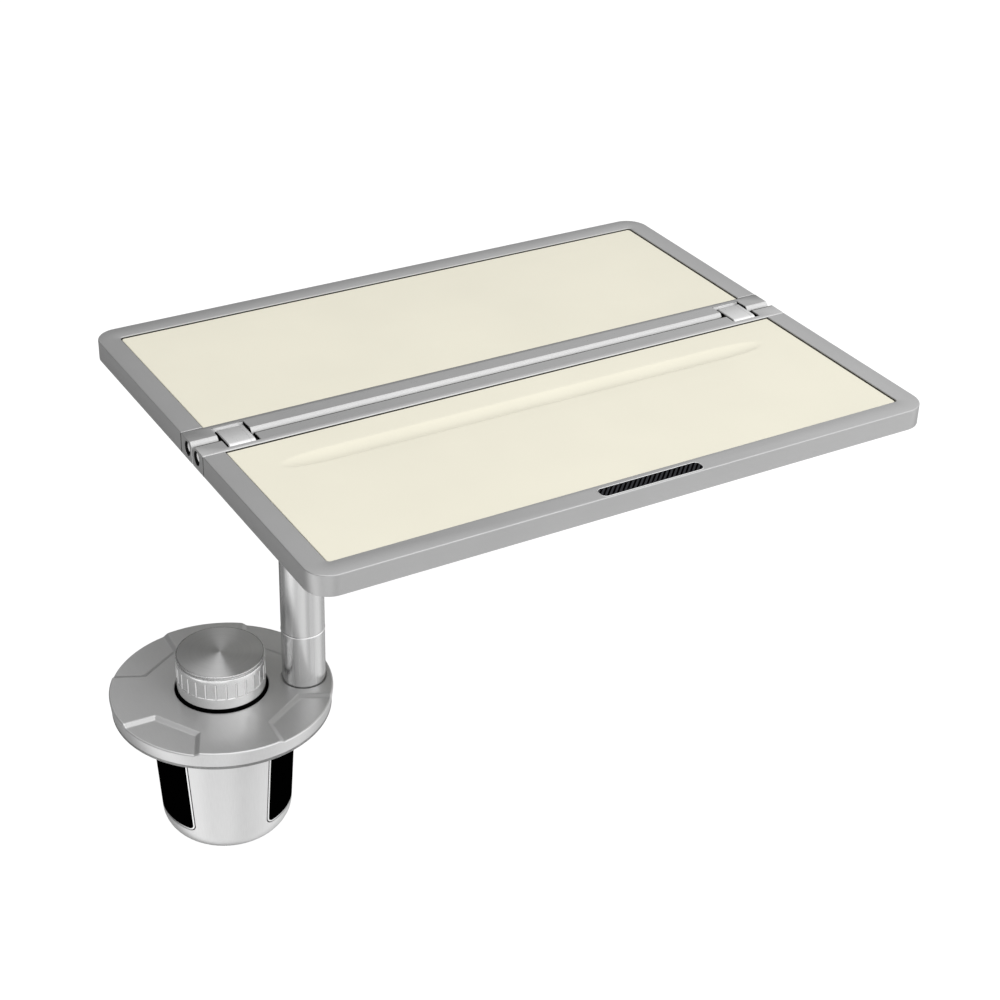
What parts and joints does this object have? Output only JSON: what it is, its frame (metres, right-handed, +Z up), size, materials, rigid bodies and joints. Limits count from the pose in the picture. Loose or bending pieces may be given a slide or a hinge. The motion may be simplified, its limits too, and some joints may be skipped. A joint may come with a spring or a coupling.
{
  "type": "folding car table",
  "caption": "Folding two-leaf car tray on a swivelling post, held in a cup holder by an expanding base with a turning knob.",
  "frame": {"origin": "centre of the flat bottom of the cup", "axes": "+Z up along the knob's spindle; +X along the hinge line of the unfolded tray, from the post's end to the free end; +Y from the near leaf to the far leaf"},
  "size_m": [0.4309, 0.281, 0.1886],
  "materials": {
    "cup_silver": "satin",
    "disc_grey": "satin, brushed",
    "knob_metal": "turned",
    "post_steel": "brushed",
    "steel_plain": "plain steel",
    "bush_plastic": "moulded",
    "guide_plastic": "moulded",
    "shoe_metal": "satin",
    "pad_rubber": "smooth",
    "frame_silver": "satin silver",
    "rail_silver": "satin",
    "link_steel": "brushed",
    "panel_cream": "smooth",
    "back_grey": "fine grain",
    "strip_black": "twill weave"
  },
  "bodies": {
    "base": {"cup_shell": "cup_silver", "flange_disc": "disc_grey", "guide_plate": "guide_plastic", "floor_guide": "guide_plastic", "flange_screws": "steel_plain", "spindle_bush": "bush_plastic", "post_stub": "post_steel", "post_screw": "steel_plain", "swivel_spigot": "steel_plain", "swivel_washer": "bush_plastic", "spigot_clip": "steel_plain"},
    "knob": {"knob_body": "knob_metal", "knob_cap": "knob_metal", "spindle": "steel_plain", "spindle_nut": "steel_plain", "spindle_clip": "steel_plain"},
    "expander": {"expander_cone": "bush_plastic"},
    "shoe_1": {"shoe_carrier_1": "shoe_metal", "shoe_pad_1": "pad_rubber"},
    "shoe_2": {"shoe_carrier_2": "shoe_metal", "shoe_pad_2": "pad_rubber"},
    "shoe_3": {"shoe_carrier_3": "shoe_metal", "shoe_pad_3": "pad_rubber"},
    "near_leaf": {"post_tube": "post_steel", "swivel_bush": "bush_plastic", "table_bracket": "frame_silver", "bracket_screws": "steel_plain", "bracket_clamp_screw": "steel_plain", "nut_plate": "steel_plain", "near_frame": "frame_silver", "near_rail": "rail_silver", "near_panel": "panel_cream", "near_back_plate": "back_grey", "grip_strip": "strip_black", "near_hinge_pins": "steel_plain"},
    "hinge_links": {"hinge_link_left": "link_steel", "hinge_link_right": "link_steel"},
    "far_leaf": {"far_frame": "frame_silver", "far_rail": "rail_silver", "far_panel": "panel_cream", "far_back_plate": "back_grey", "far_hinge_pins": "steel_plain"}
  },
  "joints": [
    {"name": "knob_turn", "type": "hinge", "parent": "base", "child": "knob", "pos_m": [0, 0, 0.09], "axis": [0, 0, -1], "range_deg": [0, 1080]},
    {"name": "cone_slide", "type": "slide", "parent": "base", "child": "expander", "axis": [0, 0, -1], "range_m": [0, 0.012]},
    {"name": "shoe_slide_1", "type": "slide", "parent": "base", "child": "shoe_1", "axis": [0.3338, 0.9426, 0], "range_m": [0, 0.007]},
    {"name": "shoe_slide_2", "type": "slide", "parent": "base", "child": "shoe_2", "axis": [-0.9833, -0.1822, 0], "range_m": [0, 0.007]},
    {"name": "shoe_slide_3", "type": "slide", "parent": "base", "child": "shoe_3", "axis": [0.6494, -0.7604, 0], "range_m": [0, 0.007]},
    {"name": "post_swivel", "type": "hinge", "parent": "base", "child": "near_leaf", "pos_m": [0.03998, -0.01184, 0.113], "axis": [0, 0, 1], "continuous": true},
    {"name": "link_fold", "type": "hinge", "parent": "near_leaf", "child": "hinge_links", "pos_m": [0.19468, 0.05316, 0.1838], "axis": [1, 0, 0], "range_deg": [0, 90]},
    {"name": "leaf_fold", "type": "hinge", "parent": "hinge_links", "child": "far_leaf", "pos_m": [0.19468, 0.06476, 0.1838], "axis": [1, 0, 0], "range_deg": [0, 90]}
  ],
  "couplings": [
    {"joint": "cone_slide", "follows": "knob_turn", "m_per_rad": 0.00063661},
    {"joint": "shoe_slide_1", "follows": "knob_turn", "m_per_rad": 0.00037136},
    {"joint": "shoe_slide_2", "follows": "knob_turn", "m_per_rad": 0.00037136},
    {"joint": "shoe_slide_3", "follows": "knob_turn", "m_per_rad": 0.00037136}
  ]
}
